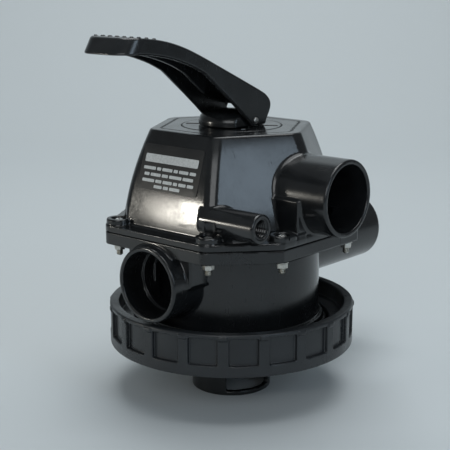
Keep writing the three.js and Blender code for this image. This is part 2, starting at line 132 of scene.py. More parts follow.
# ---------------------------------------------------------------- surface of a field
def surface(f, lo, hi, h):
    """Vertices, quads and normals of f = 0 in the box lo..hi, with cells of h mm."""
    lo, hi = np.array(lo, float) - 1.7 * h, np.array(hi, float) + 1.7 * h
    n = np.ceil((hi - lo) / h).astype(int) + 1
    ax = [lo[i] + h * np.arange(n[i]) for i in range(3)]
    val = np.empty(n, np.float32)
    step = max(1, int(1.2e6 / (n[1] * n[2])))
    for s in range(0, n[0], step):
        e = min(n[0], s + step)
        X, Y, Z = ax[0][s:e, None, None], ax[1][None, :, None], ax[2][None, None, :]
        val[s:e] = np.broadcast_to(f(X, Y, Z), (e - s, n[1], n[2]))
    S = val < 0
    cnt = np.zeros(n - 1, np.int8)
    corners = [(i, j, k) for i in (0, 1) for j in (0, 1) for k in (0, 1)]
    for i, j, k in corners:
        cnt += S[i:n[0] - 1 + i, j:n[1] - 1 + j, k:n[2] - 1 + k]
    cells = np.argwhere((cnt > 0) & (cnt < 8))
    idx = np.full(n - 1, -1, np.int64)
    idx[tuple(cells.T)] = np.arange(len(cells))
    cv = np.stack([val[cells[:, 0] + i, cells[:, 1] + j, cells[:, 2] + k] for i, j, k in corners], 1).astype(float)
    off = np.array(corners, float)
    total, weight = np.zeros((len(cells), 3)), np.zeros(len(cells))
    for a in range(8):
        for b in range(a + 1, 8):
            if abs(off[a] - off[b]).sum() != 1:
                continue
            m = (cv[:, a] < 0) != (cv[:, b] < 0)
            t = cv[:, a] / np.where(m, cv[:, a] - cv[:, b], 1)
            total += np.where(m[:, None], off[a] + (off[b] - off[a]) * t[:, None], 0)
            weight += m
    base = lo + cells * h
    p = base + total / weight[:, None] * h
    middle = base + 0.5 * h

    def F(q):
        return np.asarray(f(q[:, 0], q[:, 1], q[:, 2]), float)

    def grad(q, e):
        g = np.empty_like(q)
        for i in range(3):
            d = np.zeros(3)
            d[i] = e
            g[:, i] = (F(q + d) - F(q - d)) / (2 * e)
        return g

    for _ in range(3):
        g = grad(p, 0.12)
        v = F(p)
        p = p - g * (v / np.maximum((g * g).sum(1), 0.15))[:, None]
        p = middle + np.clip(p - middle, -0.75 * h, 0.75 * h)
    g = grad(p, 0.22)
    g /= np.maximum(np.linalg.norm(g, axis=1), 1e-9)[:, None]
    quads = []
    # one quad for each grid edge that the surface crosses
    for axis in range(3):
        o1, o2 = [(1, 2), (2, 0), (0, 1)][axis]
        sl_a = [slice(1, n[d] - 1) for d in range(3)]
        sl_b = [slice(1, n[d] - 1) for d in range(3)]
        sl_a[axis], sl_b[axis] = slice(0, n[axis] - 1), slice(1, n[axis])
        A, B = S[tuple(sl_a)], S[tuple(sl_b)]
        e = np.argwhere(A != B)
        inside_a = A[tuple(e.T)]
        c = e.copy()
        for d in range(3):
            if d != axis:
                c[:, d] += 1
        d1, d2 = np.zeros(3, int), np.zeros(3, int)
        d1[o1], d2[o2] = 1, 1
        q = [c - d1 - d2, c - d2, c, c - d1]
        ids = np.stack([idx[tuple(x.T)] for x in q], 1)
        ids = np.where(inside_a[:, None], ids, ids[:, ::-1])
        quads.append(ids)
    quads = np.concatenate(quads)
    quads = quads[(quads >= 0).all(1)]
    used = np.unique(quads)
    remap = np.full(len(p), -1)
    remap[used] = np.arange(len(used))
    return p[used], remap[quads], g[used]


def mesh_object(name, verts_mm, faces, normals=None, lift=True):
    """A mesh object from millimetres above the tube's end to metres in the row frame."""
    v = np.array(verts_mm, float)
    if lift:
        v = v - [0, 0, SEAT_Z]
    v = v / 1000
    me = bpy.data.meshes.new(name)
    f = np.asarray(faces)
    if f.ndim == 2:
        k = f.shape[1]
        me.vertices.add(len(v))
        me.vertices.foreach_set("co", v.astype(np.float32).ravel())
        me.loops.add(f.size)
        me.loops.foreach_set("vertex_index", f.astype(np.int32).ravel())
        me.polygons.add(len(f))
        me.polygons.foreach_set("loop_start", np.arange(0, f.size, k, dtype=np.int32))
        me.update(calc_edges=True)
    else:
        me.from_pydata(v.tolist(), [], [list(x) for x in faces])
    me.validate()
    me.shade_smooth()
    if normals is not None:
        me.normals_split_custom_set_from_vertices(normals.tolist())
    o = bpy.data.objects.new(name, me)
    bpy.context.scene.collection.objects.link(o)
    return o


def field_piece(name, f, lo, hi, h):
    p, q, g = surface(f, lo, hi, h)
    return mesh_object(name, p, q, g)


def lathe(name, profile, segments=96, angle=34, place=(0, 0, 0)):
    """A closed profile of (radius, height) turned about a vertical axis."""
    n = len(profile)
    verts, faces = [], []
    for i in range(segments):
        a = 2 * math.pi * i / segments
        for r, z in profile:
            verts.append((place[0] + r * math.cos(a), place[1] + r * math.sin(a), place[2] + z))
    for i in range(segments):
        j = (i + 1) % segments
        for k in range(n):
            m = (k + 1) % n
            if profile[k][0] < 1e-6 and profile[m][0] < 1e-6:
                continue
            faces.append((i * n + k, j * n + k, j * n + m, i * n + m))
    me = bpy.data.meshes.new(name)
    me.from_pydata([(x / 1000, y / 1000, (z - SEAT_Z) / 1000) for x, y, z in verts], [], faces)
    o = bpy.data.objects.new(name, me)
    bpy.context.scene.collection.objects.link(o)
    import bmesh
    bm = bmesh.new()
    bm.from_mesh(me)
    bmesh.ops.remove_doubles(bm, verts=bm.verts, dist=1e-7)
    bmesh.ops.dissolve_degenerate(bm, edges=bm.edges, dist=1e-7)
    bmesh.ops.recalc_face_normals(bm, faces=bm.faces)
    bm.to_mesh(me)
    bm.free()
    me.shade_smooth()
    me.set_sharp_from_angle(angle=rad(angle))
    return o


def arc(cx, cz, r, a0, a1, k=5):
    return [(cx + r * math.cos(rad(a0 + (a1 - a0) * i / k)), cz + r * math.sin(rad(a0 + (a1 - a0) * i / k))) for i in range(k + 1)]


# ---------------------------------------------------------------- materials
def sock(node, name):
    return node.inputs[name]


def material(name, base, rough, metal=0.0, coat=0.0, spec=0.5, bump=None, vary=None, wear=None, tint=None, fine=None):
    """A procedural surface: base colour with blotches, roughness with smears, and moulded or machined relief."""
    m = bpy.data.materials.new(name)
    m.use_nodes = True
    nt = m.node_tree
    nt.nodes.clear()
    out = nt.nodes.new("ShaderNodeOutputMaterial")
    b = nt.nodes.new("ShaderNodeBsdfPrincipled")
    nt.links.new(b.outputs["BSDF"], out.inputs["Surface"])
    sock(b, "Base Color").default_value = (*base, 1)
    sock(b, "Roughness").default_value = rough
    sock(b, "Metallic").default_value = metal
    sock(b, "Coat Weight").default_value = coat
    sock(b, "Coat Roughness").default_value = 0.06
    sock(b, "Specular IOR Level").default_value = spec
    tc = nt.nodes.new("ShaderNodeTexCoord")
    pos = tc.outputs["Object"]

    def noise(scale, detail=4, rough_=0.55, source=pos, stretch=None):
        if stretch:
            mp = nt.nodes.new("ShaderNodeMapping")
            mp.inputs["Scale"].default_value = stretch
            nt.links.new(source, mp.inputs["Vector"])
            source = mp.outputs["Vector"]
        n = nt.nodes.new("ShaderNodeTexNoise")
        n.inputs["Scale"].default_value = scale
        n.inputs["Detail"].default_value = detail
        n.inputs["Roughness"].default_value = rough_
        nt.links.new(source, n.inputs["Vector"])
        return n.outputs["Fac"]

    def ramp(src, lo, hi, a, c):
        r = nt.nodes.new("ShaderNodeMapRange")
        r.inputs["From Min"].default_value, r.inputs["From Max"].default_value = lo, hi
        r.inputs["To Min"].default_value, r.inputs["To Max"].default_value = a, c
        r.clamp = True
        nt.links.new(src, r.inputs["Value"])
        return r.outputs["Result"]

    def add(a, c, op="ADD"):
        n = nt.nodes.new("ShaderNodeMath")
        n.operation = op
        for i, s in enumerate((a, c)):
            if isinstance(s, (int, float)):
                n.inputs[i].default_value = s
            else:
                nt.links.new(s, n.inputs[i])
        return n.outputs[0]

    if vary:
        smear = ramp(noise(vary.get("scale", 28), 5), 0.35, 0.7, -vary["rough"] * 0.5, vary["rough"])
        fines = ramp(noise(vary.get("fine", 420), 3), 0.4, 0.75, 0.0, vary["rough"] * 0.6)
        r = add(add(smear, fines), rough)
        # hair scratches: long thin noise
        scratch = ramp(noise(36, 2, 0.4, stretch=(1.0, 26.0, 3.0)), 0.66, 0.74, 0.0, vary["rough"] * 1.4)
        r = add(r, scratch)
        nt.links.new(r, sock(b, "Roughness"))
    if tint:
        mix = nt.nodes.new("ShaderNodeMix")
        mix.data_type = "RGBA"
        mix.inputs[6].default_value = (*base, 1)
        mix.inputs[7].default_value = (*tint["to"], 1)
        f1 = ramp(noise(tint.get("scale", 35), 6, 0.6), 0.42, 0.72, 0.0, tint.get("amount", 1.0))
        if tint.get("dust"):
            # dust settles on faces that look up
            geo = nt.nodes.new("ShaderNodeNewGeometry")
            sep = nt.nodes.new("ShaderNodeSeparateXYZ")
            nt.links.new(geo.outputs["Normal"], sep.inputs[0])
            up = ramp(sep.outputs["Z"], 0.35, 1.0, 0.0, tint["dust"])
            specks = ramp(noise(900, 2), 0.55, 0.75, 0.25, 1.0)
            f1 = add(f1, add(up, specks, "MULTIPLY"))
        nt.links.new(f1, mix.inputs[0])
        nt.links.new(mix.outputs[2], sock(b, "Base Color"))
    if bump:
        h = None
        for scale, amount, detail in bump:
            s = ramp(noise(scale, detail), 0.2, 0.8, 0.0, amount)
            h = s if h is None else add(h, s)
        bn = nt.nodes.new("ShaderNodeBump")
        bn.inputs["Strength"].default_value = 1.0
        bn.inputs["Distance"].default_value = 0.001
        nt.links.new(h, bn.inputs["Height"])
        nt.links.new(bn.outputs["Normal"], sock(b, "Normal"))
        if coat:
            nt.links.new(bn.outputs["Normal"], sock(b, "Coat Normal"))
    return m


MAT = {}
MAT["gloss"] = material("black_gloss_plastic", (0.0065, 0.0072, 0.008), 0.15, spec=0.62,
                        vary={"rough": 0.07, "scale": 30}, tint={"to": (0.022, 0.024, 0.026), "scale": 42, "amount": 0.5, "dust": 0.35},
                        bump=[(16, 0.10, 2), (700, 0.006, 2)])
MAT["body"] = material("black_body_plastic", (0.0075, 0.0084, 0.0092), 0.17, spec=0.6,
                       vary={"rough": 0.09, "scale": 26}, tint={"to": (0.018, 0.020, 0.022), "scale": 38, "amount": 0.4, "dust": 0.2},
                       bump=[(20, 0.03, 2), (650, 0.002, 2)])
MAT["nut"] = material("grey_black_plastic", (0.0125, 0.0145, 0.0168), 0.30, spec=0.5,
                      vary={"rough": 0.12, "scale": 24}, tint={"to": (0.028, 0.032, 0.036), "scale": 30, "amount": 0.5, "dust": 0.25},
                      bump=[(30, 0.06, 3), (520, 0.020, 2)])
MAT["lever"] = material("lever_plastic", (0.0085, 0.0095, 0.0105), 0.19, spec=0.6,
                        vary={"rough": 0.08, "scale": 34}, tint={"to": (0.026, 0.029, 0.032), "scale": 40, "amount": 0.5, "dust": 0.25},
                        bump=[(26, 0.06, 2), (800, 0.006, 2)])
MAT["rotor"] = material("rotor_plastic", (0.02, 0.021, 0.022), 0.4, vary={"rough": 0.1},
                        tint={"to": (0.04, 0.042, 0.044), "amount": 0.6}, bump=[(60, 0.02, 3), (500, 0.012, 2)])
MAT["rubber"] = material("seal_rubber", (0.014, 0.014, 0.014), 0.72, spec=0.3, vary={"rough": 0.12},
                         tint={"to": (0.03, 0.03, 0.03), "amount": 0.8}, bump=[(300, 0.02, 4), (1200, 0.01, 2)])
MAT["plated"] = material("plated_hardware", (0.62, 0.61, 0.57), 0.3, metal=1.0, vary={"rough": 0.16, "scale": 180},
                         tint={"to": (0.42, 0.41, 0.37), "scale": 260, "amount": 0.8}, bump=[(900, 0.01, 3)])
MAT["steel"] = material("stainless_steel", (0.60, 0.60, 0.59), 0.26, metal=1.0, vary={"rough": 0.12, "scale": 160},
                        tint={"to": (0.44, 0.44, 0.43), "scale": 220, "amount": 0.7}, bump=[(1100, 0.008, 3)])
MAT["spring"] = material("spring_steel", (0.5, 0.5, 0.49), 0.3, metal=1.0, vary={"rough": 0.14, "scale": 200},
                         tint={"to": (0.34, 0.34, 0.34), "scale": 260, "amount": 0.7}, bump=[(900, 0.012, 3)])
MAT["label"] = material("label_film", (0.012, 0.013, 0.014), 0.36, spec=0.45, vary={"rough": 0.10, "scale": 60},
                        tint={"to": (0.020, 0.021, 0.022), "scale": 80, "amount": 0.5}, bump=[(220, 0.012, 3), (900, 0.004, 2)])
MAT["print"] = material("label_print", (0.62, 0.64, 0.64), 0.45, vary={"rough": 0.10, "scale": 90},
                        tint={"to": (0.40, 0.42, 0.42), "scale": 700, "amount": 0.7}, bump=[(900, 0.006, 2)])


def dress(o, mat, body, slot, *nodes):
    o.data.materials.clear()
    o.data.materials.append(MAT[mat])
    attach(o, body)
    if nodes:
        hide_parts(*nodes)
    return o


# ---------------------------------------------------------------- shared shapes
def flange_outline():
    """A hexagon rounded round its bolts, squared off under the pump port."""
    pts = [(87.0, -45.0), (87.0, 45.0)]
    for cx, cy, a0, a1 in ((44.6, 76.9, 38, 90), (-44.6, 76.9, 90, 150), (-88.6, 0.0, 150, 210), (-44.6, -76.9, 210, 270), (44.6, -76.9, 270, 322)):
        for i in range(9):
            q = rad(a0 + (a1 - a0) * i / 8)
            pts.append((cx + 10.1 * math.cos(q), cy + 10.1 * math.sin(q)))
    return pts


OUTLINE_R = flange_outline()
BOLTS = [(44.6, -76.9), (80.5, -39.0), (80.5, 39.0), (44.6, 76.9), (-44.6, 76.9), (-88.6, 0.0), (-44.6, -76.9)]
HEX = [(math.cos(rad(30 + 60 * k)), math.sin(rad(30 + 60 * k))) for k in range(6)]


def dome_radius(Z, grow=0.0):
    t = Z - 131.5
    return 87.4 - 0.0930 * t - 0.002725 * t * t + grow


def dome(X, Y, Z, round_edge, grow=0.0):
    """Six leaning flats with rounded corners."""
    t = Z - 131.5
    a = dome_radius(Z, grow) * math.cos(rad(30))
    slope = (0.0930 + 2 * 0.002725 * t) * math.cos(rad(30))
    norm = 1 / np.sqrt(1 + slope * slope)
    d = None
    for nx, ny in HEX:
        k = (nx * X + ny * Y - a) * norm
        d = k if d is None else I(d, k, round_edge)
    return d


# ---------------------------------------------------------------- cover
def cover_field(X, Y, Z):
    s = I(dome(X, Y, Z, 5.0), np.maximum(Z - 206.7, 131.6 - Z), 1.2)
    # a thin shallow groove is cut round the flat top
    rim = None
    for nx, ny in HEX:
        k = nx * X + ny * Y - 48.6
        rim = k if rim is None else I(rim, k, 3.0)
    s = np.maximum(s, -np.maximum(np.abs(rim) - 0.55, 206.15 - Z))
    flange = I(polygon(X, Y, OUTLINE_R), slab(Z, 131.5, 136.3), 0.35)
    s = U(s, flange, 1.8)
    lugs = None
    for i, (x, y) in enumerate(BOLTS):
        k = cyl(X, Y, Z, x, y, 9.4, 133.0, 141.0, 1.2)
        lugs = k if lugs is None else np.minimum(lugs, k)
    lugs = I(lugs, polygon(X, Y, OUTLINE_R), 0.5)
    s = U(s, lugs, 1.2)
    # box that carries the pump port down to the flange
    block = box(X, Y, Z, 30, 86.8, -29.6, 29.6, 133.0, 163.9, 1.4)
    wall = np.minimum(box(X, Y, Z, 72.5, 86.8, -44.5, -20, 133.0, 139.8, 1.4), box(X, Y, Z, 72.5, 86.8, 20, 44.5, 133.0, 139.8, 1.4))
    s = U(s, U(block, wall, 1.5), 1.6)
    R = np.sqrt(Y * Y + (Z - 163.9) ** 2)
    port = I(R - 28.1, slab(X, 30, 108.85), 1.5)
    s = U(s, port, 2.2)
    # gauge boss with its web
    G = np.sqrt((Y + 65) ** 2 + (Z - 149.6) ** 2)
    gauge = I(G - 10.4, slab(X, 33, 83.0), 1.2)
    web = I(polygon(X, Y, [(40, -70), (61, -70), (70.5, -61), (70.5, -52), (40, -52)]), slab(Z, 133, 149.6), 1.0)
    s = U(s, U(gauge, web, 1.5), 1.8)
    # hollow
    inner = I(dome(X, Y, Z, 5.0, -7.2), np.maximum(Z - 200.0, 136.3 - Z), 3.0)
    stem_boss = cyl(X, Y, Z, 0, 0, 23.0, 185.0, 206, 1.5)
    s = D(s, D(inner, stem_boss, 2.0), 1.0)
    s = D(s, cyl(X, Y, Z, 0, 0, 61.0, 120, 140.5, 0.3), 0.6)
    s = D(s, cyl(X, Y, Z, 0, 0, 38.2, 203.3, 212, 0.2), 0.25)
    s = D(s, cyl(X, Y, Z, 0, 0, 12.75, 180, 212, 0.2), 0.5)
    s = D(s, I(R - 24.4, slab(X, 50, 112), 1.0), 1.2)
    s = D(s, box(X, Y, Z, 50, 81, -25, 25, 138.5, 150, 2.0), 1.0)
    s = D(s, I(G - 7.3, slab(X, 60, 90), 0.5), 0.7)
    s = D(s, I(np.sqrt((Y + 62.8) ** 2 + (Z - 149.6) ** 2) - 2.2, slab(X, 25, 62), 0.3), 0.4)
    for x, y in BOLTS:
        s = D(s, cyl(X, Y, Z, x, y, 5.7, 137.0, 150, 0.3), 0.6)
        s = D(s, cyl(X, Y, Z, x, y, 2.9, 120, 140, 0.2), 0.3)
    return s


cover = field_piece("cover_shell", cover_field, (-100, -88.5, 130.5), (110, 88.5, 208), 1.2)
dress(cover, "gloss", "valve", "black_gloss_plastic", "cover")


# ---------------------------------------------------------------- valve body
def body_field(X, Y, Z):
    R = np.sqrt(X * X + Y * Y)
    s = I(R - 68.15, slab(Z, 53.0, 131.2), 0.5)
    foot = I(R - 74.6, slab(Z, 53.0, 57.4), 0.8)
    step = I(R - 71.6, slab(Z, 54.0, 62.2), 0.8)
    s = U(s, U(foot, step, 0.6), 1.2)
    flange = I(polygon(X, Y, OUTLINE_R), slab(Z, 122.0, 131.2), 0.35)
    s = U(s, flange, 2.0)
    A = np.sqrt(X * X + (Z - 100.6) ** 2)
    side = np.abs(Y)
    block = I(I(slab(X, -31, 31), slab(side, 50, 81), 1.5), slab(Z, 99.6, 124), 2.4)
    s = U(s, block, 1.6)
    short = I(A - 28.1, slab(Y, -94.2, -50), 1.5)
    long_ = I(A - 28.1, slab(Y, 50, 166.2), 2.0)
    s = U(s, np.minimum(short, long_), 2.0)
    s = D(s, I(R - 60.0, slab(Z, 116.2, 145), 0.4), 0.5)
    s = D(s, I(np.abs(R - 64.5) - 2.6, slab(Z, 128.3, 145), 0.2), 0.2)
    s = D(s, I(R - 27.0, slab(Z, 40, 78), 0.5), 0.6)
    # six chambers under the port plate: fold the plan on 60 degrees
    T = np.arctan2(Y, X)
    fold = np.mod(T, rad(60)) - rad(30)
    fx, fy = R * np.cos(fold), R * np.sin(fold)
    wedge = I(np.abs(fy) * math.cos(rad(30)) - fx * math.sin(rad(30)) + 2.0, R - 57.0, 1.0)
    plate = I(I(wedge, 18.0 - fx, 1.0), slab(Z, 100, 124), 0.5)
    chamber = I(I(np.abs(fy) * math.cos(rad(30)) - fx * math.sin(rad(30)) + 2.0, R - 62.0, 1.5), 36.0 - fx, 1.5)
    chamber = I(chamber, slab(Z, 40, 110), 1.5)
    s = D(s, plate, 0.6)
    s = D(s, chamber, 0.8)
    s = D(s, I(A - 24.4, slab(side, 74, 170), 0.6), 1.0)
    s = D(s, I(A - 22.2, slab(side, 64, 80), 0.6), 0.8)
    s = D(s, I(I(slab(X, -20, 20), slab(side, 56, 70), 0.5), slab(Z, 80, 109), 3.0), 1.0)
    for x, y in BOLTS:
        s = D(s, cyl(X, Y, Z, x, y, 2.9, 110, 140, 0.2), 0.3)
    return s


body = field_piece("body_shell", body_field, (-100, -95, 52), (88, 167, 132.5), 1.3)
dress(body, "body", "valve", "black_gloss_plastic", "valve_body")


# ---------------------------------------------------------------- tank adapter
def adapter_field(X, Y, Z):
    R = np.sqrt(X * X + Y * Y)
    s = I(R - 81.5, slab(Z, 46.3, 52.7), 0.8)
    s = U(s, I(R - 31.0, slab(Z, 0.0, 50.0), 0.9), 2.5)
    s = D(s, R - 27.0, 0.9)
    s = D(s, I(np.abs(R - 72.1) - 2.6, slab(Z, 40, 48.9), 0.2), 0.3)
    T = np.arctan2(Y, X)
    fold = np.mod(T, rad(60)) - rad(30)
    arc_ = np.abs(fold) * R - 18 * R * rad(1)
    s = D(s, I(arc_, np.abs(R - 48.5) - 11.5, 3.0), 0.6)
    # window in the side of the centre tube
    turn = np.mod(T - rad(341.5) + math.pi, 2 * math.pi) - math.pi
    s = D(s, I(I(np.abs(turn) * 29.0 - 38.5 * rad(1) * 29.0, slab(R, 20, 36), 0.2), slab(Z, 3.8, 20.0), 1.2), 0.5)
    return s


adapter = field_piece("adapter_shell", adapter_field, (-82, -82, 0), (82, 82, 53), 1.25)
dress(adapter, "body", "valve", "black_gloss_plastic", "tank_adapter")


# ---------------------------------------------------------------- union nut
def nut_field(X, Y, Z):
    R = np.sqrt(X * X + Y * Y)
    s = I(R - 95.0, slab(Z, 38.6, 70.8), 1.2)
    s = D(s, I(R - 87.9, slab(Z, 58.0, 80), 1.0), 1.1)
    s = D(s, R - 76.2, 1.0)
    thread = 85.0 - 1.8 * np.clip(1.6 * np.abs(((Z + np.arctan2(Y, X) / (2 * math.pi) * 4.2) / 4.2) % 1.0 - 0.5) - 0.15, 0, 0.5) * 2
    s = D(s, I(R - thread, slab(Z, 20, 53.2), 0.5), 0.8)
    T = np.arctan2(Y, X)
    fold = np.mod(T - rad(307), rad(18)) - rad(9)
    arc_ = np.abs(fold) * 95.0
    pocket = I(I(arc_ - 10.7, slab(Z, 47.4, 67.4), 1.0), 92.2 - R, 0.5)
    s = D(s, pocket, 0.5)
    # small tabs where each rib meets the rim
    tab_fold = np.mod(T - rad(298), rad(18)) - rad(9)
    tab = I(I(np.abs(tab_fold) * 95.0 - 3.2, slab(Z, 66.2, 69.4), 0.6), slab(R, 90, 95.9), 0.6)
    s = U(s, tab, 0.5)
    return s


nut = field_piece("nut_shell", nut_field, (-96, -96, 38), (96, 96, 71), 1.15)
dress(nut, "nut", "nut", "grey_black_plastic", "union_nut")


# ---------------------------------------------------------------- lever
PY, PZ = 1.0, 211.7
LOW = [(-4.8, 210.2), (-17, 220.8), (-30.8, 232), (-40.7, 239.6), (-48, 245.4), (-54, 249.9), (-64.6, 254.9), (-71.5, 257.5), (-82.7, 261.2), (-93.7, 263.8), (-106.7, 266), (-118, 267), (-145, 267.3)]
HIGH = [(-145, 278.6), (-126.2, 278.5), (-115.2, 278.0), (-100, 276.1), (-90.4, 274.2), (-80.6, 271.6), (-70.6, 268.2), (-60.5, 264.1), (-50.1, 259.6), (-39.4, 254.8), (-17.4, 245.0), (5.6, 234.6), (12.8, 231.1), (17.4, 227.2), (19.5, 223.2), (18.7, 218.8), (16.3, 214.9), (13.8, 210.8), (13.2, 208.1), (-2.8, 207.95)]
SIDE_R = smooth_polygon(HIGH + LOW, [1, 120, 90, 90, 90, 120, 120, 160, 200, 200, 300, 200, 14, 8, 8, 14, 20, 12, 1.5, 1.5] + [6, 200, 200, 60, 40, 14, 60, 90, 120, 120, 160, 160, 1])
UNDER = [(-150, 275.0), (-122, 274.8), (-115.2, 274.3), (-100, 272.4), (-90.4, 270.5), (-80.6, 267.9), (-70.6, 264.5), (-60.5, 260.4), (-50.1, 255.9), (-39.4, 251.1), (-17.4, 241.3), (-11, 238.4), (1.5, 232.6), (11.4, 228), (14.6, 225.2), (15.9, 222.6), (15.9, 195), (-150, 195)]
UNDER_R = smooth_polygon(UNDER, [1, 90, 90, 90, 90, 120, 120, 160, 200, 200, 300, 300, 200, 14, 8, 8, 1, 1])


def grip_end(X, Y, Z, half, end, r):
    """Plan of the lever, its rounded end leaning back with height."""
    ys = Y - 0.6 * np.clip(Z - 267.5, -3, 20)
    bulge = 1.1 * np.clip(1 - (X / half) ** 2, 0, 1)
    return I(np.abs(X) - half, (end - 1.1 + (1.1 - bulge)) - ys, r)


def lever_field(X, Y, Z):
    s = I(polygon(Y, Z, SIDE_R), grip_end(X, Y, Z, 23.0, -134.2, 14.5), 1.5)
    hollow = np.minimum(polygon(Y, Z, UNDER_R), np.maximum(np.maximum(10.5 - Y, Z - 220.2), Y - 60))
    hollow = I(hollow, grip_end(X, Y, Z, 19.6, -130.9, 11.0), 1.3)
    s = D(s, hollow, 0.7)
    web = np.maximum(np.maximum(polygon(Y, Z, SIDE_R) + 0.25, Y + 31.0), -126.0 - Y + 0.6 * (Z - 267.5))
    s = U(s, I(web, np.abs(X) - 1.25, 0.5), 0.9)
    # rows of small nubs near the end
    for y, z in ((-117.6, 278.05), (-110.5, 277.4), (-103.4, 276.5)):
        u = np.abs(X - 6.9 * np.round(X / 6.9))
        nub = I(np.sqrt(u * u + (Y - y) ** 2) - 1.2, slab(Z, z - 1.5, z + 0.85), 0.55)
        s = U(s, np.maximum(nub, np.abs(X) - 23.6), 0.35)
    bore = np.sqrt((Y - PY) ** 2 + (Z - PZ) ** 2)
    s = D(s, bore - 2.6, 0.4)
    return s


lever = field_piece("lever_shell", lever_field, (-23.5, -137, 207), (23.5, 20.5, 280), 0.7)
dress(lever, "lever", "lever", "black_gloss_plastic", "lever")


# ---------------------------------------------------------------- hub, pin, index plate
def hub_field(X, Y, Z):
    R = np.sqrt(X * X + Y * Y)
    crown = 218.9 - 0.0035 * R * R
    s = I(I(R - 25.0, 207.35 - Z, 0.8), (Z - crown), 6.5)
    s = I(s, np.abs(X) - 19.0, 1.2)
    s = D(s, np.maximum(R - 12.6, Z - 216.0), 0.3)
    s = D(s, np.sqrt((Y - PY) ** 2 + (Z - PZ) ** 2) - 2.6, 0.4)
    return s


hub = field_piece("hub_collar", hub_field, (-19.2, -25, 207), (19.2, 25, 219), 0.6)
dress(hub, "gloss", "diverter", "black_gloss_plastic", "stem_hub")


def along_x(o, y, z):
    """Lays a turned piece made about the vertical at height 0 along X at y, z."""
    for v in o.data.vertices:
        x, yy, zz = v.co.x * 1000, v.co.y * 1000, v.co.z * 1000 + SEAT_Z
        v.co = Vector((zz / 1000, (y + yy) / 1000, (z + x - SEAT_Z) / 1000))
    return o


pin = lathe("pin_shaft", [(0, -23.9)] + arc(1.7, -23.2, 0.7, -90, 0, 3)[0:] + [(2.4, -22.6), (2.4, 22.6)] + arc(1.7, 23.2, 0.7, 0, 90, 3) + [(0, 23.9)], 40, 40)
along_x(pin, PY, PZ)
pin.data.update()
dress(pin, "steel", "diverter", "stainless_steel", "lever_pin")


def index_field(X, Y, Z):
    s = cyl(X, Y, Z, 0, 0, 37.8, 203.6, 206.9, 0.45)
    s = D(s, disc(X, Y, 0, 0, 13.0), 0.4)
    R = np.sqrt(X * X + Y * Y)
    for k in range(6):
        a = rad(30 + 60 * k)
        u, v = X * math.cos(a) + Y * math.sin(a), -X * math.sin(a) + Y * math.cos(a)
        s = D(s, I(I(slab(u, 25.2, 35.0), np.abs(v) - 2.3, 0.8), 204.3 - Z, 0.2), 0.3)
    return s


index = field_piece("index_disc", index_field, (-38, -38, 203.4), (38, 38, 207), 0.7)
dress(index, "gloss", "valve", "black_gloss_plastic", "index_plate")

# ---------------------------------------------------------------- label on the -Y flat, with generic bars and no lettering
LX0, LX1, LZ0, LZ1 = -31.0, 27.8, 164.8, 197.0


def flat_y(z, out):
    """The -Y flat's y at a height, moved outwards."""
    t = z - 131.5
    return -(87.4 - 0.0930 * t - 0.002725 * t * t) * math.cos(rad(30)) - out


def patch(name, x0, x1, z0, z1, out, thick, corner, nx=24, nz=24, skew=0.0):
    """A thin plate with rounded corners, wrapped on the flat."""
    def outline(k=6):
        pts = []
        for cx, cz, a0 in ((x1 - corner, z1 - corner, 0), (x0 + corner, z1 - corner, 90), (x0 + corner, z0 + corner, 180), (x1 - corner, z0 + corner, 270)):
            for i in range(k + 1):
                a = rad(a0 + 90 * i / k)
                pts.append((cx + corner * math.cos(a), cz + corner * math.sin(a)))
        return pts
    ring = outline()
    n = len(ring)
    cx, cz = (x0 + x1) / 2, (z0 + z1) / 2
    levels = [1.0, 0.9, 0.75, 0.55, 0.3]
    verts, faces = [], []
    for side, o in ((0, out + thick), (1, out)):
        base = len(verts)
        for s in levels:
            for x, z in ring:
                px, pz = cx + (x - cx) * s, cz + (z - cz) * s
                verts.append((px, flat_y(pz, o), pz))
        centre = len(verts)
        verts.append((cx, flat_y(cz, o), cz))
        for l in range(len(levels) - 1):
            for i in range(n):
                j = (i + 1) % n
                a, b, c, d = base + l * n + i, base + l * n + j, base + (l + 1) * n + j, base + (l + 1) * n + i
                faces.append((a, b, c, d) if side == 0 else (d, c, b, a))
        l = len(levels) - 1
        for i in range(n):
            j = (i + 1) % n
            faces.append((base + l * n + i, base + l * n + j, centre) if side == 0 else (centre, base + l * n + j, base + l * n + i))
    half = len(levels) * n + 1
    for i in range(n):
        j = (i + 1) % n
        faces.append((j, i, half + i, half + j))
    return verts, faces


def join_patches(name, parts):
    verts, faces = [], []
    for v, f in parts:
        k = len(verts)
        verts += v
        faces += [tuple(i + k for i in q) for q in f]
    me = bpy.data.meshes.new(name)
    me.from_pydata([(x / 1000, y / 1000, (z - SEAT_Z) / 1000) for x, y, z in verts], [], faces)
    me.validate()
    o = bpy.data.objects.new(name, me)
    bpy.context.scene.collection.objects.link(o)
    import bmesh
    bm = bmesh.new()
    bm.from_mesh(me)
    bmesh.ops.recalc_face_normals(bm, faces=bm.faces)
    bm.to_mesh(me)
    bm.free()
    me.shade_smooth()
    me.set_sharp_from_angle(angle=rad(30))
    return o


label = join_patches("label_plate", [patch("l", LX0, LX1, LZ0, LZ1, 0.12, 0.38, 2.2)])
dress(label, "label", "valve", "label_film", "warning_label")
bars = []
